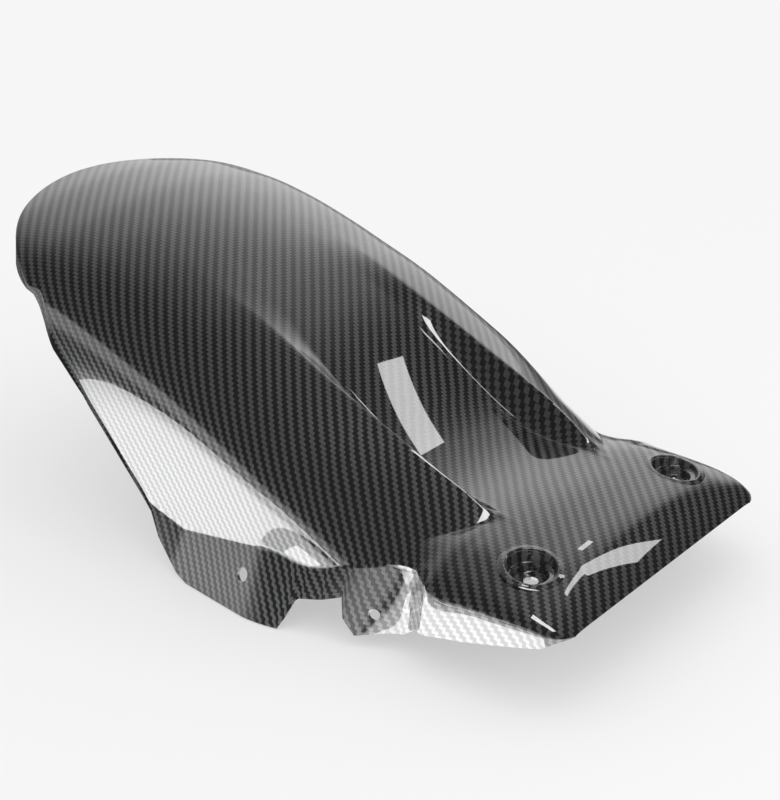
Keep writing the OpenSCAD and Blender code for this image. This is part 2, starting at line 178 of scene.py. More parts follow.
@dataclass
class LaminateForm:
    """The moulding's sizes in mm, the same as the solid model's, and its skin as a function of place.

    A point is placed by s, the distance back from the front lip, by its distance from the middle, and
    by its height over the lip's low edge.
    """

    wall: float = 2.0
    arch_len: float = 490.0
    arch_half_w: float = 127.0
    crown_h: float = 145.0
    crown_at: float = 440.0
    crown_r: float = 380.0
    nose_start: float = 380.0
    nose_power: float = 1.85
    flank_fall: float = 0.29
    nose_fall: float = 0.2
    flank_h: float = 118.0
    lip_half_w: float = 99.0
    plate_half_w: float = 115.0
    lip_run: float = 20.0
    lip_rise: float = 14.0
    plate_rise: float = 25.0
    plate_crown: float = 3.4
    side_fold_h: float = 5.0
    tip_at: float = 83.0
    tip_gap: float = 108.0
    ridge_gap: float = 117.0
    ridge_end: float = 318.0
    ridge_mid_h: float = 76.0
    channel_depth: float = 26.0
    channel_w: float = 92.0
    skirt_flare: float = 0.45
    foot_drop: float = 45.0
    crease_drop: float = 8.0
    right_tab_front: float = 173.0
    right_tab_rear: float = 254.0
    left_lobe_rear: float = 262.0
    left_lobe_front: float = 222.0
    rear_edge_h: float = 104.0
    side_drop: float = 24.0
    notch_drop: float = 26.0
    small_tab_front: float = 96.0
    small_tab_rear: float = 138.0
    small_tab_drop: float = 37.0
    cup_spacing: float = 150.0
    valley_run: float = 45.0
    plate_back: float = 0.1
    tip_at_width: float = 5.0
    max_side: float = 3.0
    wall_power: float = 1.35
    skirt_power: float = 1.4
    least_turn: float = 1.05
    valley_slope: float = 0.25
    valley_share: float = 0.45
    nose_drop: float = 0.97
    melt: Pair = (-48.0, 32.0)
    fade: Pair = (-63.0, 4.0)
    ease: float = 5.0
    fairing: float = 5.0
    channel_fairing: float = 11.0
    tip_fairing: float = 2.5
    tip_passes: int = 5
    fold_passes: int = 14
    fold_reach: int = 7
    corner_r: float = 5.0
    corner_run: float = 13.0
    nose_rows: int = 13
    tabs_run: Pair = (90.0, 180.0)
    gaps: Tuple[float, ...] = (1.0, 1.9, 1.5, 2.6)
    least_gap: float = 0.35
    centre_cells: int = 10
    wall_cells: int = 16
    flank_cells: Tuple[int, float] = (26, 1.5)
    side_cells: Tuple[int, float] = (12, 1.4)
    skirt_cells: int = 8

    def __post_init__(self) -> None:
        """Works out the lines along the length."""
        f, tip, lip, nose, rear = self, self.tip_at, self.lip_run, self.nose_start, self.rear_edge_h
        tab, heel, lobe, end = f.right_tab_front, f.right_tab_rear, f.left_lobe_rear, f.ridge_end
        small, small_end = f.small_tab_front, f.small_tab_rear
        self.valley = valley = tip + f.valley_run
        fold_h = f.side_fold_h
        foot, crease, notch, drop, toe = (
            -f.foot_drop, -f.crease_drop, -f.notch_drop, -f.side_drop, -f.small_tab_drop)
        mid, near_end, climb = (tip + end) / 2, end - 46, f.plate_rise - f.lip_rise
        tip_z = f.plate_rise - f.plate_crown * (f.tip_gap / f.cup_spacing) ** 2
        span = f.ridge_mid_h - tip_z
        self.ridge = Curve([
            (tip, tip_z), (tip + 12, tip_z + 0.13 * span), (tip + 32, tip_z + 0.32 * span),
            (tip + 57, tip_z + 0.53 * span), (mid, f.ridge_mid_h),
            (near_end, self.crown_z(near_end) - 0.5), (end, self.crown_z(end) - 4)], f.ease, run_on=True)
        depths = [(tip + 27, 0.54), (tip + 42, 0.78), (tip + 58, 0.87), (tip + 79, 0.81), (tip + 103, 0.64)]
        plate = [(0, 0), (0.45 * lip, 0.54 * f.lip_rise), (lip, f.lip_rise),
                 (lip + 5, f.lip_rise + 0.24 * climb), (lip + 14, f.lip_rise + 0.42 * climb),
                 (tip + 2, f.plate_rise)]
        channel = [(s, float(self.ridge(s)) - f.channel_depth * share) for s, share in depths]
        crown = [(s, self.crown_z(s)) for s in np.arange(end - 84, f.arch_len, 36)]
        self.centre = Curve(plate + channel + crown, 2.0, run_on=True)
        self.ridge_y = Curve([(0, f.tip_gap / 2 + 4), (tip, f.tip_gap / 2),
                              (tip + 45, f.ridge_gap / 2 - 0.5), (mid, f.ridge_gap / 2)], f.ease)
        self.fall = Curve([(tip, f.flank_fall + 0.3), (valley, f.flank_fall + 0.27),
                           (tab, f.flank_fall + 0.07), (mid, f.flank_fall), (nose, f.nose_fall),
                           (f.arch_len, f.nose_fall - 0.04)], 8.0)
        self.side_y = Curve([(0, f.lip_half_w), (0.3 * lip, f.lip_half_w + 6), (lip, f.lip_half_w + 10),
                             (2 * lip, f.plate_half_w - 3), (tip + 7, f.plate_half_w),
                             (mid, f.arch_half_w)], 2.0)
        self.turn_h = Curve([(at, share * f.flank_h) for at, share in (
            (tip, 0.5), (valley, 0.68), (mid, 0.93), (end, 1.06), (nose, 0.95), (f.arch_len, 0.7))], 10.0)
        self.channel_half = Curve([(0, f.tip_gap / 2 - 6), (tip, f.tip_gap / 2 - 8),
                                   (tip + 20, f.channel_w / 2), (mid, f.channel_w / 2),
                                   (end - 60, 0.85 * f.channel_w / 2),
                                   (end + 20, 0.4 * f.channel_w)], f.ease)
        self.flare = Curve([(at, share * f.skirt_flare) for at, share in (
            (60, 0.1), (tab, 1), (nose - 20, 0.9), (nose + 30, 0.3))], 6.0)
        fold = [(0, -1), (lip, fold_h + 1), (2 * lip, fold_h + 2), (tip + 7, fold_h)]
        self.crease = {
            Side.RIGHT: Curve(fold + [
                (valley, fold_h - 3), (tab - 25, crease + 4), (tab - 5, crease), (tab + 17, crease + 4),
                (tab + 45, crease), (heel + 4, crease - 7), (heel + 24, crease - 10),
                (nose - 14, 0.66 * rear), (nose + 12, rear + 4)], 3.0),
            Side.LEFT: Curve(fold + [
                (valley, fold_h - 2), (tab, -2), (f.left_lobe_front, 1), (lobe, 0), (lobe + 30, 7),
                (nose - 14, 0.67 * rear), (nose + 12, rear + 4)], 4.0)}
        front_edge = [(0, -5), (9, -6), (17, -8), (34, -12)]
        nose_edge = [(nose - 3, rear - 29), (nose + 7, rear - 12), (nose + 20, rear),
                     (nose + 50, rear + 7), (f.arch_len, rear + 14)]
        self.right_edge = np.array(front_edge + [
            (60, -19), (small - 4, drop), (small, drop - 3), (small + 8, toe + 3),
            (small_end - 8, toe - 2), (small_end, notch - 4), (small_end + 3, notch + 7),
            (tab - 20, notch + 3), (tab - 6, notch), (tab - 4, notch - 2), (tab, foot + 6),
            (tab + 3, foot), (heel, foot), (heel + 12, foot + 3), (heel + 31, foot + 18),
            (heel + 50, foot + 41)] + nose_edge, float)
        self.left_edge = Curve(front_edge + [
            (60, -20), (tip + 17, drop - 6), (tab - 25, drop - 13), (tab + 15, drop - 16),
            (f.left_lobe_front, foot), (lobe, foot), (lobe + 28, foot + 9), (lobe + 50, foot + 28),
            (lobe + 66, foot + 53)] + nose_edge, 2.5)

    def crown_z(self, s: Union[float, np.ndarray]) -> Union[float, np.ndarray]:
        """Returns the crown's height over the tyre, an arc about the wheel."""
        return self.crown_h - self.crown_r + np.sqrt(self.crown_r**2 - (s - self.crown_at) ** 2)

    def edge_z(self, s: np.ndarray, side: Side) -> np.ndarray:
        """Returns the trimmed lower edge's height, straight on the right, one smooth line on the left."""
        return np.interp(s, *self.right_edge.T) if side is Side.RIGHT else self.left_edge(s)

    def plate_z(self, s: np.ndarray, y: np.ndarray) -> np.ndarray:
        """Returns the height of the crowned front plate."""
        bulge = self.plate_crown * (2 * y / self.cup_spacing) ** 2 * soft(s, 0, self.lip_run + 8)
        middle = self.centre(np.minimum(s, self.tip_at + 2))
        return middle - np.maximum(0, s - self.tip_at) * self.plate_back - bulge

    def ridge_z(self, s: np.ndarray) -> np.ndarray:
        """Returns the height of the two ridges, which melt into the crown."""
        share = soft(s, self.ridge_end + self.melt[0], self.ridge_end + self.melt[1])
        over = mixed(self.ridge(s), self.centre(s) - self.fall(s) * self.ridge_y(s) / 2, share)
        return np.where(s <= self.tip_at, self.plate_z(s, self.ridge_y(s)), over)

    def nose_y(self, s: np.ndarray) -> np.ndarray:
        """Returns half the width of the rounded nose."""
        along = np.clip((s - self.nose_start) / (self.arch_len - self.nose_start), 0, 1)
        return self.arch_half_w * (1 - along**self.nose_power) ** (1 / self.nose_power)

    def inner_z(self, s: np.ndarray, y: np.ndarray) -> np.ndarray:
        """Returns the height between the ridges: the channel's floor and walls, or the crown."""
        centre, ridge_y, ridge_z = self.centre(s), self.ridge_y(s), self.ridge_z(s)
        half = self.channel_half(s)
        share = 1 - soft(s, self.ridge_end + self.fade[0], self.ridge_end + self.fade[1])
        q = np.clip((y - half) / (ridge_y - half), 0, 1)
        hollow = centre + (ridge_z - centre) * q**self.wall_power
        crowned = centre + (ridge_z - centre) * (y / ridge_y) ** 2
        return np.where(s <= self.tip_at, self.plate_z(s, y), mixed(crowned, hollow, share))

    def turn(self, s: np.ndarray) -> np.ndarray:
        """Returns how sharply the flank turns from the ridge to upright."""
        fallen = (self.side_y(s) - self.ridge_y(s)) * self.fall(s)
        return np.maximum(self.least_turn, self.turn_h(s) / fallen)

    def dome(self, s: np.ndarray, q: np.ndarray) -> Tuple[np.ndarray, np.ndarray]:
        """Places a point of the dome.

        Args:
            s: distance back from the lip.
            q: below 1 between the ridges, above 1 down the flank.

        Returns:
            Its distance from the middle and its height.
        """
        ridge_y = self.ridge_y(s)
        down = np.clip(q - 1, 0, 1)
        flank_y = ridge_y + (self.side_y(s) - ridge_y) * (1 - (1 - down) ** self.turn(s))
        flank_z = self.ridge_z(s) - self.turn_h(s) * down
        inner_y = np.minimum(q, 1) * ridge_y
        return np.where(q <= 1, inner_y, flank_y), np.where(q <= 1, self.inner_z(s, inner_y), flank_z)

    def dome_q(self, s: np.ndarray, y: np.ndarray) -> np.ndarray:
        """Returns the q of the dome's point at distance y from the middle."""
        ridge_y = self.ridge_y(s)
        out = np.clip((y - ridge_y) / (self.side_y(s) - ridge_y), 0, 1)
        return np.where(y <= ridge_y, y / ridge_y, 2 - (1 - out) ** (1 / self.turn(s)))

    def inner_shares(self, s: np.ndarray) -> np.ndarray:
        """Returns q from the middle to the ridge, dense on the channel's wall."""
        half, ridge = self.channel_half(s), self.ridge_y(s)
        middle = half / ridge * np.linspace(0, 1, self.centre_cells + 1)
        climb = (half + (ridge - half) * np.linspace(0, 1, self.wall_cells + 1)[1:]) / ridge
        return np.concatenate([middle, climb], axis=1)

    def plate_half(self, s: np.ndarray, zc: np.ndarray) -> Tuple[np.ndarray, np.ndarray]:
        """Places half a section of the plate: inside the ridges, out to the valley, over the side bulge."""
        ry, sy = self.ridge_y(s), self.side_y(s)
        turned, _ = self.dome(s, 1 + (self.ridge_z(s) - zc) / self.turn_h(s))
        sy = mixed(sy, turned, soft(s, self.tip_at, self.valley))
        ahead = ry + self.tip_at_width + (self.tip_at - s) * self.valley_slope
        behind = ry + self.tip_at_width + (sy - self.max_side - ry - self.tip_at_width) * (
            s - self.tip_at) / self.valley_run
        vy = np.where(s <= self.tip_at, ahead, np.minimum(behind, sy - self.max_side))
        rz, vz = self.inner_z(s, ry), self.plate_z(s, vy)
        inner_y = self.inner_shares(s) * ry
        down, out = (dense(*cells) for cells in (self.flank_cells, self.side_cells))
        side_y = vy + (sy - vy) * out
        side_z = mixed(self.plate_z(s, side_y), zc, out**3)
        return (np.concatenate([inner_y, ry + (vy - ry) * down, side_y], axis=1),
                np.concatenate([self.inner_z(s, inner_y), rz + (vz - rz) * down, side_z], axis=1))

    def arch_half(self, s: np.ndarray, zc: np.ndarray) -> Tuple[np.ndarray, np.ndarray]:
        """Places half a section of the arch: over the crown and down the flank to the crease."""
        rz, th = self.ridge_z(s), self.turn_h(s)
        share = soft(s, self.valley, self.right_tab_front + 40)
        plate, flank = self.plate_z(s, self.side_y(s)), zc + self.valley_share * (rz - zc)
        zv = mixed(np.maximum(plate, zc + 2), flank, share)
        hv, hc = (rz - zv) / th, np.minimum((rz - zc) / th, 0.995)
        down, out = (dense(*cells) for cells in (self.flank_cells, self.side_cells))
        q = np.concatenate([self.inner_shares(s), 1 + hv * down, 1 + hv + (hc - hv) * out], axis=1)
        y, z = self.dome(s, q)
        k = np.minimum(1, self.nose_y(s) / y[:, -1:])
        drawn_y, drawn_z = self.dome(s, self.dome_q(s, k * y))
        return np.where(k < 1, drawn_y, y), np.where(k < 1, drawn_z, z)

    def half(self, s: np.ndarray, side: Side) -> np.ndarray:
        """Places half of each section, from the middle to the lower edge.

        Args:
            s: the stations, as a column.
            side: which half.

        Returns:
            Points in mm by station and column: distance back, distance out, height.
        """
        zb = self.edge_z(s, side)
        zc = np.maximum(self.crease[side](s), zb + 2)
        plate = np.stack(self.plate_half(s, zc), -1)
        arch = np.stack(self.arch_half(s, zc), -1)
        share = soft(s, self.tip_at, self.valley)[..., None]
        body = mixed(plate, arch, share)
        ridge = self.centre_cells + self.wall_cells
        rounded(body[:, ridge - 2:ridge + 3], np.ones((1, 1, 1)), 2)
        last = body[:, -1:, :]
        low = np.where(s > self.valley, np.minimum(zb, last[..., 1] - 3), zb)
        down = np.linspace(0, 1, self.skirt_cells + 1)[None, 1:] ** self.skirt_power
        z = last[..., 1] + (low - last[..., 1]) * down
        y = last[..., 0] + self.flare(s) * (last[..., 1] - z)
        yz = np.concatenate([body, np.stack([y, z], -1)], axis=1)
        back = np.broadcast_to(s[..., None], yz[..., :1].shape)
        return np.concatenate([back, yz], axis=-1)

    def stations(self) -> np.ndarray:
        """Returns the places of the sections, dense at the lip, at the notch and round the nose."""
        f, lip_end, tabs_end = self, 26, 150
        ends = (0, lip_end, f.tip_at, tabs_end, f.nose_start)
        runs = [np.arange(*run) for run in zip(ends, ends[1:], f.gaps)]
        turn = np.radians(np.linspace(0, 87, 46))
        nose = f.nose_start + (f.arch_len - f.nose_start) * np.sin(turn) ** (2 / f.nose_power)
        corners = f.right_edge[:, 0]
        corners = corners[(corners > f.tabs_run[0]) & (corners < f.tabs_run[1])]
        near = np.concatenate([corners + d for d in (-1.0, 0.0, 1.0)] + [[f.tip_at - 0.5]])
        every = np.unique(np.round(np.concatenate(runs + [nose, near]), 3))
        keep = np.concatenate([[True], np.diff(every) > f.least_gap])
        for c in corners:
            keep[np.searchsorted(every, round(float(c), 3))] = True
        return every[keep]

    def fair(self, s: np.ndarray, body: np.ndarray) -> None:
        """Fairs the skin between the skirts, most in the channel and least at the ridges' tips.

        Args:
            s: the stations, as a column.
            body: distance out and height by station and column.
        """
        nose, tip = self.nose_start, self.tip_at
        column = np.abs(np.arange(body.shape[1]) - body.shape[1] // 2)[None]
        between = 1 - soft(column, self.centre_cells, self.centre_cells + self.wall_cells)
        ends = soft(s, 2, 7) * (1 - soft(s, nose - 30, nose + 10))
        off_tip = soft(s, tip + 3, tip + 22) + 1 - soft(s, tip - 9, tip - 3)
        near_tip = soft(s, tip - 9, tip - 3) * (1 - soft(s, tip + 8, tip + 22))
        for share, spread in ((off_tip * ends, self.fairing),
                              (between * ends * soft(s, tip - 22, tip - 2), self.channel_fairing),
                              (near_tip, self.tip_fairing)):
            body[:] = mixed(body, faired(s[:, 0], body, spread), share[..., None])
        rounded(body, near_tip[..., None], self.tip_passes)

    def round_plate(self, s: np.ndarray, grid: np.ndarray) -> None:
        """Rounds the folds of the plate's sides and the lip's two corners, in place.

        Args:
            s: the stations, as a column.
            grid: points by station and column.
        """
        skirt = self.skirt_cells
        on_plate = (1 - soft(s, self.tip_at - 12, self.tip_at + 6))[..., None]
        short = soft(s, -3, self.corner_run)[..., None]
        for sheet in (grid, grid[:, ::-1]):
            rounded(sheet[:, skirt - self.fold_reach:skirt + self.fold_reach + 1, 1:], on_plate,
                    self.fold_passes)
            crease = sheet[:, skirt:skirt + 1, 1:]
            sheet[:, :skirt, 1:] = mixed(crease, sheet[:, :skirt, 1:], short)
        inset = np.clip(1 - s / self.corner_r, 0, 1)
        grid[..., 1] *= 1 - self.corner_r * (1 - np.sqrt(1 - inset**2)) / np.abs(grid[:, :1, 1])

    def skin(self) -> np.ndarray:
        """Returns the outer skin as a grid of points in mm, from the right edge over to the left one."""
        s = self.stations()[:, None]
        right, left = self.half(s, Side.RIGHT), self.half(s, Side.LEFT)
        right = right[:, ::-1] * np.array([1, -1, 1])
        grid = np.concatenate([right, left[:, 1:]], axis=1)
        self.fair(s, grid[:, self.skirt_cells + 1:-self.skirt_cells - 1, 1:])
        self.round_plate(s, grid)
        low = grid[-1:, :1, 2:]
        drop = np.linspace(0, self.nose_drop, self.nose_rows + 1)[1:, None, None]
        nose = np.repeat(grid[-1:], self.nose_rows, axis=0)
        nose[..., 2:] = low + (nose[..., 2:] - low) * (1 - drop)
        nose[..., :1] += drop
        return np.concatenate([grid, nose], axis=0)


# Materials.


def operator(operation: str, reflected: bool = False) -> Callable[..., "Wire"]:
    """Makes an operator of Wire.

    Args:
        operation: the Math node's operation.
        reflected: True feeds the node with the other value first.

    Returns:
        The method; it feeds a Math node with the wire and with the other value, if there is one.
    """
    def method(self: "Wire", *other: Value) -> "Wire":
        """Returns the result of the Math node."""
        return self.shading.maths(operation, *((*other, self) if reflected else (self, *other)))
    return method


class Wire:
    """A value inside a material, with the usual arithmetic, so that shader maths reads as maths."""

    def __init__(self, shading: "Shading", socket: bpy.types.NodeSocket) -> None:
        """Wraps a socket of the material's nodes."""
        self.shading = shading
        self.socket = socket

    __add__ = operator("ADD")
    __radd__ = operator("ADD", reflected=True)
    __sub__ = operator("SUBTRACT")
    __rsub__ = operator("SUBTRACT", reflected=True)
    __mul__ = operator("MULTIPLY")
    __rmul__ = operator("MULTIPLY", reflected=True)
    __truediv__ = operator("DIVIDE")
    __rtruediv__ = operator("DIVIDE", reflected=True)
    __pow__ = operator("POWER")
    __mod__ = operator("FLOORED_MODULO")
    __lt__ = operator("LESS_THAN")
    floor = operator("FLOOR")
    fract = operator("FRACT")

    def step(self, low: float, high: float) -> "Wire":
        """Returns a soft step from 0 at low to 1 at high."""
        return self.shading.node("MapRange", {
            "Value": self, "From Min": low, "From Max": high}, interpolation_type="SMOOTHSTEP")["Result"]


class Made:
    """A node that was just made; indexing it gives the Wire of an output."""

    def __init__(self, shading: "Shading", node: bpy.types.Node) -> None:
        """Keeps the node and the material it belongs to."""
        self.shading = shading
        self.node = node

    def __getitem__(self, output: Union[str, int]) -> Wire:
        """Returns the named or numbered output."""
        return Wire(self.shading, self.node.outputs[output])


class Shading:
    """The node tree of a material or of the world, made from nothing."""

    def __init__(self, owner: Union[bpy.types.Material, bpy.types.World]) -> None:
        """Clears the owner's nodes."""
        owner.use_nodes = True
        self.tree = owner.node_tree
        self.tree.nodes.clear()

    def node(self, kind: str, values: Optional[Dict[Union[str, int], object]] = None,
             **settings: object) -> Made:
        """Adds a node.

        Args:
            kind: the node's type, without the ShaderNode in front.
            values: its sockets by name or number, each a Wire or a plain value.
            settings: its own settings, set first.

        Returns:
            The node made.
        """
        node = self.tree.nodes.new("ShaderNode" + kind)
        for name, value in settings.items():
            setattr(node, name, value)
        for name, value in (values or {}).items():
            socket = node.inputs[name]
            if isinstance(value, Wire):
                self.tree.links.new(value.socket, socket)
            else:
                socket.default_value = value
        return Made(self, node)

    def maths(self, operation: str, *values: Value) -> Wire:
        """Returns the result of a Math node."""
        return self.node("Math", dict(enumerate(values)), operation=operation)[0]

    def mix(self, share: Value, first: Colour, second: Colour) -> Wire:
        """Returns a colour between two colours."""
        ends = [end if isinstance(end, Wire) else (*end, 1.0) for end in (first, second)]
        return self.node("Mix", {0: share, 6: ends[0], 7: ends[1]}, data_type="RGBA")[2]

    def blend(self, share: Value, first: Value, second: Value) -> Wire:
        """Returns a number between two numbers."""
        return self.node("Mix", {0: share, 2: first, 3: second}, data_type="FLOAT")[0]

    def output(self, shader: Wire, kind: str = "OutputMaterial") -> None:
        """Feeds the tree's output."""
        self.node(kind, {"Surface": shader})


@dataclass(frozen=True)
class Twill:
    """A two-by-two twill cloth, its pattern laid on the piece's UV map in mm, with painted sheen on its
    tows.
    """

    tow: float = 2.2
    crown: float = 0.16
    # Painted sheen: tows running along are painted light and tows running across are painted dark, in place
    # of the fibres' gloss that turns with the light.
    along_sheen_tone: Triple = (0.27, 0.273, 0.278)
    across_shaded_tone: Triple = (0.026, 0.026, 0.028)
    # Dark gaps between the tows, and painted shade where each tow rounds down at its sides and at its
    # float's ends.
    gap_and_shade_tone: Triple = (0.006, 0.006, 0.0065)
    gap_shade_width: Pair = (-0.1, 0.3)
    gap_shade_rise: Pair = (-0.3, 0.3)
    width_share: float = 0.45
    rise_share: float = 0.55
    fibres_wide: float = 14.0
    fibres_long: float = 0.6
    fibre_detail: float = 2.0
    fibre_relief: float = 0.08
    fibre_tone: float = 0.7
    least_tone: float = 0.55

    def lay(self, shading: Shading) -> Dict[str, Wire]:
        """Lays the cloth.

        Args:
            shading: the material's nodes.

        Returns:
            The cloth's "tone" and its "height", from 0 in the gaps to 1 on the crowns.
        """
        place = shading.node("UVMap", uv_map="Weave")["UV"]
        split = shading.node("SeparateXYZ", {0: place})
        u, v = split["X"] / self.tow, split["Y"] / self.tow
        fu, fv = u.fract(), v.fract()
        beat = (u.floor() - v.floor() + 4000.0) % 4.0
        along = beat < 1.5

        def arched(share: Wire) -> Wire:
            """Returns 1 in the middle of a share and 0 at both ends."""
            return share * (1.0 - share) * 4.0

        def fibres(along_u: float, along_v: float) -> Wire:
            """Returns fine streaks, so many to a tow each way."""
            place = shading.node("CombineXYZ", {0: u * along_u, 1: v * along_v})[0]
            return shading.node("TexNoise", {
                "Vector": place, "Scale": 1.0, "Detail": self.fibre_detail}, noise_dimensions="2D")[0]

        width = shading.blend(along, arched(fu), arched(fv))
        rise = shading.blend(along, arched((3.0 - beat + fv) / 2.0), arched((beat + fu) / 2.0))
        fibre = shading.blend(along, fibres(self.fibres_wide, self.fibres_long),
                              fibres(self.fibres_long, self.fibres_wide))
        height = width * self.width_share + rise ** 0.5 * self.rise_share + fibre * self.fibre_relief
        # Painted sheen: a light tone on the tows along, a dark tone on the tows across.
        tone = shading.mix(along, self.across_shaded_tone, self.along_sheen_tone)
        # Dark gaps and painted shade: the tone falls to the dark at each tow's sides and float ends.
        shade = width.step(*self.gap_shade_width) * rise.step(*self.gap_shade_rise)
        shade = shade * (fibre * self.fibre_tone + self.least_tone)
        return {"tone": shading.mix(shade, self.gap_and_shade_tone, tone), "height": height}


@dataclass(frozen=True)
class LaminateFinish:
    """Twill under a clear coat."""

    twill: Twill = field(default_factory=Twill)
    roughness: float = 0.4
    metallic: float = 0.8
    coat: float = 1.0
    coat_roughness: float = 0.015
    coat_ior: float = 3.4
    relief: float = 0.55

    def make(self, name: str) -> bpy.types.Material:
        """Returns the material, made."""
        material = bpy.data.materials.new(name)
        shading = Shading(material)
        cloth = self.twill.lay(shading)
        bump = shading.node("Bump", {
            "Strength": self.relief, "Distance": self.twill.crown * MM, "Height": cloth["height"]})
        shader = shading.node("BsdfPrincipled", {
            "Base Color": cloth["tone"], "Metallic": self.metallic, "Roughness": self.roughness,
            "Normal": bump[0], "Coat Weight": self.coat, "Coat Roughness": self.coat_roughness,
            "Coat IOR": self.coat_ior})
        shading.output(shader[0])
        return material


@dataclass(frozen=True)
class CutEdgeFinish:
    """The ground edge of the laminate, where its layers show as fine lines."""

    dark: Triple = (0.0132, 0.0132, 0.0144)
    light: Triple = (0.0374, 0.0374, 0.0408)
    roughness: float = 0.22
    uneven: float = 0.2
    grain: float = 900.0
    coat: float = 0.4
    coat_roughness: float = 0.15

    def make(self, name: str) -> bpy.types.Material:
        """Returns the material, made."""
        material = bpy.data.materials.new(name)
        shading = Shading(material)
        place = shading.node("TexCoord")["Object"]
        noise = shading.node("TexNoise", {
            "Vector": place, "Scale": self.grain, "Detail": 3.0})[0]
        shader = shading.node("BsdfPrincipled", {
            "Base Color": shading.mix(noise, self.dark, self.light),
            "Roughness": noise * self.uneven + self.roughness,
            "Coat Weight": self.coat, "Coat Roughness": self.coat_roughness})
        shading.output(shader[0])
        return material


# Modelling.


def only(obj: Body) -> Body:
    """Leaves one object selected and active, in object mode."""
    if bpy.context.object and bpy.context.object.mode != "OBJECT":
        bpy.ops.object.mode_set(mode="OBJECT")
    bpy.ops.object.select_all(action="DESELECT")
    obj.select_set(True)
    bpy.context.view_layer.objects.active = obj
    return obj


@contextmanager
def editing(obj: Body) -> Iterator[None]:
    """Holds one object in edit mode."""
    only(obj)
    bpy.ops.object.mode_set(mode="EDIT")
    yield
    bpy.ops.object.mode_set(mode="OBJECT")


def weave_layer(mesh: bpy.types.Mesh) -> bpy.types.MeshUVLoopLayer:
    """Returns the mesh's map for the cloth."""
    layer = mesh.uv_layers[0] if mesh.uv_layers else mesh.uv_layers.new()
    layer.name = "Weave"
    return layer


def modify(obj: Body, kind: str, **settings: object) -> None:
    """Adds a modifier with its settings and applies it."""
    only(obj)
    modifier = obj.modifiers.new(kind.title(), kind)
    for name, value in settings.items():
        setattr(modifier, name, value)
    bpy.ops.object.modifier_apply(modifier=modifier.name)


@dataclass
class Cup:
    """A stepped recess for a bolt's head, moulded into the plate, with a rounded lip."""

    at: float = 43.0
    lip_d: float = 35.0
    lip_h: float = 0.45
    mouth_d: float = 28.0
    step_d: float = 19.0
    step_depth: float = 5.0
    floor_depth: float = 9.0
    hole_d: float = 8.5
    wall: float = 2.0
    overlap: float = 1.9
    sink: float = 1.4
    fillet: float = 1.2
    soft_edge: float = 0.6
    lip_rings: int = 14
    fillet_rings: int = 6
    around: int = 96

    def profile(self) -> List[Triple]:
        """Returns the recess as rings from the plate inwards.

        Returns:
            For each ring its radius, its height, and how much it follows the plate's slope.
        """
        lip, m, t, h = self.lip_d / 2, self.mouth_d / 2, self.step_d / 2, self.hole_d / 2
        step, floor, wall, edge = -self.step_depth, -self.floor_depth, self.wall, self.soft_edge
        rings = [(lip + 1.2, -0.3, 1.0), (lip + 0.3, 0.0, 1.0)]
        for a in np.linspace(0, math.pi / 2, self.lip_rings + 1)[1:]:
            rings.append((lip - (lip - m) * math.sin(a), self.lip_h * math.sin(2 * a) ** 1.5
                          - self.sink * (1 - math.cos(a)) ** 2, 1.0))
        rings += [(m - 0.2, -2.2, 0.7), (m - 0.4, -3.2, 0.4)]
        for a in np.linspace(0, math.pi / 2, self.fillet_rings + 1):
            rings.append((m - edge - self.fillet * (1 - math.cos(a)),
                          step + self.fillet * (1 - math.sin(a)), 0.0))
        inside = [(t + 1.6, step - 0.05), (t + 0.7, step - 0.2), (t + 0.2, step - 0.7), (t, step - 1.4),
                  (t - 0.1, floor + 1.0), (t - 0.4, floor + 0.3), (t - 1.1, floor), (h + 0.4, floor),
                  (h, floor - 0.3)]
        below = [(h, floor - wall), (t + wall - edge, floor - wall), (t + wall, floor - wall + edge),
                 (t + wall, step - wall), (m + wall - edge, step - wall), (m + wall, step - wall + edge)]
        rings += [(radius, height, 0.0) for radius, height in inside + below]
        return rings + [(m + wall, -wall - 0.4, 1.0), (lip + 1.0, -wall + 0.3, 1.0)]

    def build(self, form: LaminateForm, side: Side, name: str) -> Body:
        """Models the cup from a circle, ring by ring.

        Args:
            form: the laminate, whose plate the lip follows.
            side: which of the two cups.
            name: the object's name.

        Returns:
            The cup, in the lip frame in mm.
        """
        rings = self.profile()
        every = rings + [rings[0]]
        bpy.ops.object.select_all(action="DESELECT")
        bpy.ops.mesh.primitive_circle_add(vertices=self.around, radius=rings[0][0])
        cup = bpy.context.object
        cup.name = name
        with editing(cup):
            bpy.ops.mesh.select_all(action="SELECT")
            for before, ring in zip(every, every[1:]):
                bpy.ops.mesh.extrude_edges_move()
                scale = ring[0] / before[0]
                bpy.ops.transform.resize(value=(scale, scale, 1.0), center_override=(0, 0, 0))
        middle = side.value * form.cup_spacing / 2
        base = float(form.plate_z(np.array(self.at), np.array(middle)))
        for index, vertex in enumerate(cup.data.vertices):
            _, height, follow = every[index // self.around]
            s, y = self.at - vertex.co.x, middle + vertex.co.y
            slope = float(form.plate_z(np.array(s), np.array(y))) - base
            vertex.co = (-s, y, base + height + follow * slope)
        with editing(cup):
            bpy.ops.mesh.select_all(action="SELECT")
            bpy.ops.mesh.remove_doubles(threshold=0.001)
            bpy.ops.mesh.normals_make_consistent(inside=False)
        return cup


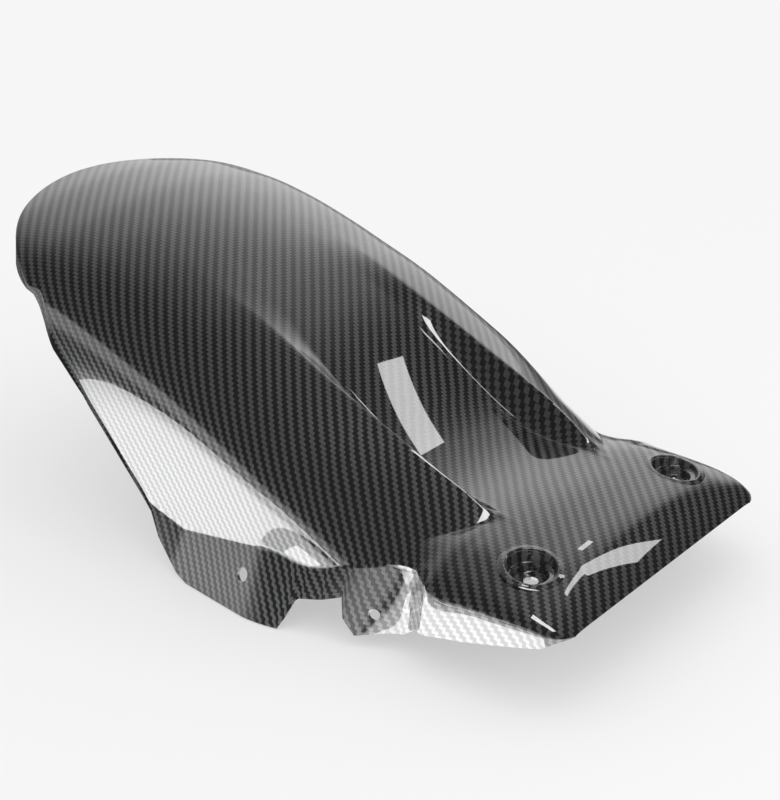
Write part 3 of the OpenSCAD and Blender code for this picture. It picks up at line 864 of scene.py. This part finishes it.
@dataclass
class Hole:
    """A bolt hole drilled square to a skirt."""

    name: str
    side: Side
    at: float
    drop: float
    diameter: float
    depth: float = 16.0
    around: int = 64

    def cutter(self, form: LaminateForm) -> Body:
        """Returns the drill as a solid in the lip frame, in mm."""
        s = np.array([[self.at]])
        half = form.half(s, self.side)[0]
        skirt = half[:-form.skirt_cells - 3:-1]
        out = float(np.interp(-self.drop, skirt[:, 2], skirt[:, 1]))
        tilt = math.atan(float(form.flare(s)[0, 0]))
        bpy.ops.object.select_all(action="DESELECT")
        bpy.ops.mesh.primitive_cylinder_add(
            vertices=self.around, radius=self.diameter / 2, depth=self.depth,
            location=(-self.at, self.side.value * out, -self.drop),
            rotation=(-self.side.value * (math.pi / 2 - tilt), 0, 0))
        bpy.ops.object.transform_apply(location=True, rotation=True, scale=True)
        return bpy.context.object


@dataclass
class Laminate:
    """The whole moulding, dressed: a fair skin with its wall, cups, holes and finishes."""

    form: LaminateForm = field(default_factory=LaminateForm)
    cup: Cup = field(default_factory=Cup)
    holes: Tuple[Hole, ...] = (
        Hole("right_tab_hole", Side.RIGHT, 209.0, 24.0, 8.5),
        Hole("left_lobe_hole", Side.LEFT, 241.0, 28.0, 8.5),
        Hole("small_tab_hole", Side.RIGHT, 122.0, 26.0, 6.5))
    reach: float = 490.249
    foot: float = 45.8207
    ridge_ease: float = 6.0
    hem_ease: float = 7.0
    smooth_deg: float = 35.0
    finishes: Tuple[bpy.types.Material, ...] = ()

    def weave_map(self, grid: np.ndarray) -> np.ndarray:
        """Returns where the cloth lies on each point of the skin, in mm along and across.

        Between the ridges the cloth lies as seen from above, so the channel doesn't bend its ribs;
        outside them it follows the surface down the flank and the skirt.
        """
        form, middle = self.form, grid.shape[1] // 2
        ridge = form.centre_cells + form.wall_cells
        line = grid[:, middle + ridge]
        along = np.hypot(np.diff(line[:, 0]), np.diff(eased(line[:, 2], self.ridge_ease)))
        u = np.broadcast_to(np.concatenate([[0.0], np.cumsum(along)])[:, None], grid.shape[:2])
        v = grid[..., 1].copy()
        for side, columns in ((1, range(middle + ridge + 1, grid.shape[1])),
                              (-1, range(middle - ridge - 1, -1, -1))):
            for c in columns:
                arc = np.hypot(*(grid[:, c] - grid[:, c - side])[:, 1:].T)
                v[:, c] = v[:, c - side] + side * arc
        skirt = form.skirt_cells + 1
        for part in (slice(0, skirt), slice(grid.shape[1] - skirt, grid.shape[1])):
            v[:, part] = eased(v[:, part], self.hem_ease)
        return np.stack([u, v], -1)

    def skin(self) -> Tuple[Body, np.ndarray, np.ndarray]:
        """Models the outer skin from a grid, shaped by the form."""
        grid = self.form.skin()
        rows, cols, _ = grid.shape
        bpy.ops.object.select_all(action="DESELECT")
        bpy.ops.mesh.primitive_grid_add(x_subdivisions=cols - 1, y_subdivisions=rows - 1, size=1.0)
        skin = bpy.context.object
        skin.name = "hugger_laminate"
        mesh = skin.data
        if len(mesh.vertices) != rows * cols:
            raise RuntimeError(f"the grid has {len(mesh.vertices)} points, not {rows * cols}")
        points = grid * np.array([-1.0, 1.0, 1.0])
        mesh.vertices.foreach_set("co", points.reshape(-1).astype(np.float32))
        weave = self.weave_map(grid)
        corner = np.zeros(len(mesh.loops), np.int32)
        mesh.loops.foreach_get("vertex_index", corner)
        weave_layer(mesh).data.foreach_set("uv", weave.reshape(-1, 2)[corner].reshape(-1).astype(np.float32))
        mesh.update()
        top = max(mesh.polygons, key=lambda p: p.center.z)
        if top.normal.z < 0:
            with editing(skin):
                bpy.ops.mesh.select_all(action="SELECT")
                bpy.ops.mesh.flip_normals()
        return skin, grid, weave

    def open_mouths(self, skin: Body) -> None:
        """Takes the skin away where the two cups go in."""
        with editing(skin):
            bpy.ops.mesh.select_mode(type="FACE")
            bpy.ops.mesh.select_all(action="DESELECT")
        near = self.cup.lip_d / 2 - self.cup.overlap
        for face in skin.data.polygons:
            c = face.center
            face.select = math.hypot(c.x + self.cup.at, abs(c.y) - self.form.cup_spacing / 2) < near
        with editing(skin):
            bpy.ops.mesh.delete(type="FACE")

    def dress_cup(self, cup: Body, grid: np.ndarray, weave: np.ndarray) -> None:
        """Lays the same cloth over a cup, as seen from above."""
        middle = grid.shape[1] // 2
        row = int(np.argmin(np.abs(grid[:, middle, 0] - self.cup.at)))
        layer = weave_layer(cup.data)
        for loop in cup.data.loops:
            co = cup.data.vertices[loop.vertex_index].co
            u = float(np.interp(-co.x, grid[:, middle, 0], weave[:, middle, 0]))
            v = float(np.interp(co.y, grid[row, :, 1], weave[row, :, 1]))
            layer.data[loop.index].uv = (u, v)

    def build(self) -> Body:
        """Models, drills and finishes the moulding.

        Returns:
            The finished piece.
        """
        skin, grid, weave = self.skin()
        for finish in self.finishes:
            skin.data.materials.append(finish)
        self.open_mouths(skin)
        modify(skin, "SOLIDIFY", thickness=self.form.wall, offset=-1.0, use_even_offset=True,
               thickness_clamp=1.0, use_quality_normals=True, material_offset=1, material_offset_rim=2)
        for hole in self.holes:
            drill = hole.cutter(self.form)
            modify(skin, "BOOLEAN", operation="DIFFERENCE", solver="EXACT", object=drill)
            bpy.data.objects.remove(drill)
        cups = [self.cup.build(self.form, side, f"cup_{side.name.lower()}") for side in Side]
        for cup in cups:
            self.dress_cup(cup, grid, weave)
            cup.data.materials.append(self.finishes[0])
        only(skin)
        for cup in cups:
            cup.select_set(True)
        bpy.ops.object.join()
        place = Matrix.Translation((self.reach / 2, 0, self.foot))
        skin.data.transform(Matrix.Scale(MM, 4) @ place)
        only(skin)
        bpy.ops.object.shade_smooth_by_angle(angle=math.radians(self.smooth_deg))
        return skin


# Studio.


def toward(azimuth: float, elevation: float) -> Vector:
    """Returns the unit vector of a direction given in degrees."""
    a, e = math.radians(azimuth), math.radians(elevation)
    return Vector((math.cos(a) * math.cos(e), math.sin(a) * math.cos(e), math.sin(e)))


@dataclass(frozen=True)
class Softbox:
    """A plain rectangular lamp, placed by its direction from the middle of the part."""

    name: str
    azimuth: float
    elevation: float
    width: float
    height: float
    radiance: float
    distance: float = 1.6
    centre: Triple = (0.05, 0.0, 0.1)
    roll: float = 0.0

    def hang(self) -> None:
        """Hangs the lamp; its power follows from its size and its radiance."""
        lamp = bpy.data.lights.new(self.name, "AREA")
        lamp.shape = "RECTANGLE"
        lamp.size, lamp.size_y = self.width, self.height
        lamp.energy = self.radiance * math.pi * self.width * self.height
        holder = bpy.data.objects.new(self.name, lamp)
        bpy.context.scene.collection.objects.link(holder)
        back, level = toward(self.azimuth, self.elevation), toward(self.azimuth + 90, 0)
        r = math.radians(self.roll)
        long = level * math.cos(r) + back.cross(level) * math.sin(r)
        holder.visible_camera = False
        holder.location = Vector(self.centre) + back * self.distance
        holder.rotation_euler = Matrix((long, back.cross(long), back)).transposed().to_euler()


@dataclass(frozen=True)
class Room:
    """What the gloss sees round the table: a white backdrop behind, and a dark room in front."""

    back_az: float = 127.0
    back_tone: float = 0.82
    back_power: float = 3.0
    edge_low: float = 0.38
    edge_high: float = 0.52
    dark: float = 0.02
    haze: float = 0.37
    haze_low: float = 0.05
    haze_top: float = 0.15

    def tone(self, shading: Shading, way: Wire) -> Wire:
        """Returns the room's brightness in a direction.

        Args:
            shading: the world's nodes.
            way: the direction, a unit vector.
        """
        part = shading.node("SeparateXYZ", {0: way})
        x, y, z = part["X"], part["Y"], part["Z"]
        a = math.radians(self.back_az)
        ahead = shading.maths("MAXIMUM", x * math.cos(a) + y * math.sin(a), 0.0)
        aside = x * math.sin(a) - y * math.cos(a)
        back = ahead ** self.back_power * (1.0 - aside.step(self.edge_low, self.edge_high))
        haze = (1.0 - z.step(self.haze_low, self.haze_top)) * self.haze
        return shading.maths("MAXIMUM", back * self.back_tone, haze) + self.dark


@dataclass
class Studio:
    """A white table, soft lamps and the camera at the photograph's place."""

    target: Triple = (-170.0, 0.0, 50.0)
    azimuth: float = -50.9
    elevation: float = 25.0
    distance: float = 944.0
    focal_px: float = 1193.0
    zoom: float = 1.28
    frame_w: float = 780.0
    frame_h: float = 800.0
    axis_px: Pair = (327.0, 193.0)
    middle_px: Pair = (290.0, 190.0)
    sensor: float = 36.0
    # Painted reflection: the table's glow as glossy rays see it, white round bright_at, near_grey next to
    # that, far_grey far off.
    bright_at: Triple = (0.05, -0.05, 0.0)
    bright_reach: Pair = (0.33, 0.5)
    far_reach: Pair = (0.6, 1.1)
    near_grey: Triple = (0.07, 0.07, 0.07)
    far_grey: Triple = (0.37, 0.37, 0.37)
    paper: Tuple[float, float, float, float] = (0.86, 0.86, 0.86, 1.0)
    glow: float = 0.45
    table_size: float = 12.0
    clip: Pair = (0.05, 50.0)
    room: Room = field(default_factory=Room)
    lamps: Tuple[Softbox, ...] = (
        Softbox("lamp_lip", 77.0, 44.0, 0.26, 0.045, 1.5, 0.6, (0.23, -0.03, 0.06), 51.0),
        Softbox("lamp_channel", 86.0, 46.0, 0.030, 0.025, 1.6, 0.5, (0.08, -0.023, 0.087)),
        Softbox("lamp_top", 0.0, 90.0, 0.09, 0.28, 2.4, 0.49, (0.27, 0.0, 0.10)),
        Softbox("card_side", 0.0, -90.0, 1.60, 0.30, 1.1, 0.1, (-0.155, -0.955, 0.101)),
        Softbox("card_middle", 0.0, -90.0, 0.09, 0.045, 1.3, 0.1, (0.045, -0.215, 0.101)),
        Softbox("card_front", 0.0, -90.0, 0.14, 0.19, 1.3, 0.1, (0.155, -0.17, 0.101)))

    def camera(self, laminate: Laminate) -> None:
        """Sets the camera up from the solved view of the photograph."""
        data = bpy.data.cameras.new("camera")
        data.sensor_width = self.sensor
        data.lens = self.focal_px * self.zoom * self.sensor / max(self.frame_w, self.frame_h)
        offset = [(m - a) * self.zoom / max(self.frame_w, self.frame_h)
                  for m, a in zip(self.middle_px, self.axis_px)]
        data.shift_x, data.shift_y = offset[0], -offset[1]
        camera = bpy.data.objects.new("camera", data)
        bpy.context.scene.collection.objects.link(camera)
        back = toward(self.azimuth, self.elevation)
        shift = Vector((laminate.reach / 2, 0, laminate.foot))
        camera.location = (Vector(self.target) + shift + back * self.distance) * MM
        camera.rotation_euler = back.to_track_quat("Z", "Y").to_euler()
        data.clip_start, data.clip_end = self.clip
        bpy.context.scene.camera = camera

    def table(self) -> Body:
        """Makes the white table top, which keeps the object's soft shadow; in reflections it shows a painted
        glow.
        """
        bpy.ops.object.select_all(action="DESELECT")
        bpy.ops.mesh.primitive_plane_add(size=self.table_size)
        table = bpy.context.object
        table.name = "table"
        material = bpy.data.materials.new("table_white")
        shading = Shading(material)
        path = shading.node("LightPath")
        place = shading.node("TexCoord")["Object"]
        away = shading.node("VectorMath", {0: place, 1: self.bright_at},
                            operation="DISTANCE")["Value"]
        near = 1.0 - away.step(*self.bright_reach)
        far = shading.node("VectorMath", {0: place}, operation="LENGTH")["Value"]
        grey = shading.mix(far.step(*self.far_reach), self.near_grey, self.far_grey)
        # Painted reflection: glossy rays see this glow in place of the lit table.
        painted_reflection = shading.node("Emission", {
            "Color": shading.mix(near, grey, (1.0, 1.0, 1.0))})[0]
        matt = shading.node("BsdfDiffuse", {"Color": self.paper})[0]
        glow = shading.node("Emission")[0]
        seen = shading.node("MixShader", {
            0: path["Is Camera Ray"] * self.glow, 1: matt, 2: glow})[0]
        shading.output(shading.node("MixShader", {
            0: path["Is Glossy Ray"], 1: seen, 2: painted_reflection})[0])
        table.data.materials.append(material)
        return table

    def world(self) -> None:
        """Makes the room: white to the camera and to matt surfaces, a backdrop and dark to the gloss."""
        world = bpy.data.worlds.new("room")
        bpy.context.scene.world = world
        shading = Shading(world)
        path = shading.node("LightPath")
        way = shading.node("TexCoord")["Generated"]
        tone = shading.blend(path["Is Glossy Ray"], 1.0, self.room.tone(shading, way))
        shading.output(shading.node("Background", {"Color": tone})[0],
                       "OutputWorld")

    def build(self, laminate: Laminate) -> None:
        """Sets up the whole studio."""
        bpy.context.scene.view_settings.view_transform = "Standard"
        self.camera(laminate)
        self.table()
        self.world()
        for lamp in self.lamps:
            lamp.hang()


def main() -> None:
    """Builds the dressed part and the studio round it."""
    laminate = Laminate(finishes=(
        LaminateFinish().make("twill_gloss"),
        LaminateFinish(coat=0.35, coat_roughness=0.3, coat_ior=1.5).make("twill_inside"),
        CutEdgeFinish().make("cut_edge")))
    Studio().build(laminate)
    piece = laminate.build()
    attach(piece, "root")
    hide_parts("hugger_shell")
    LOG.info("%s: %d faces", piece.name, len(piece.data.polygons))


if __name__ == "__main__":
    logging.basicConfig(level=logging.INFO, format="%(message)s")
    main()
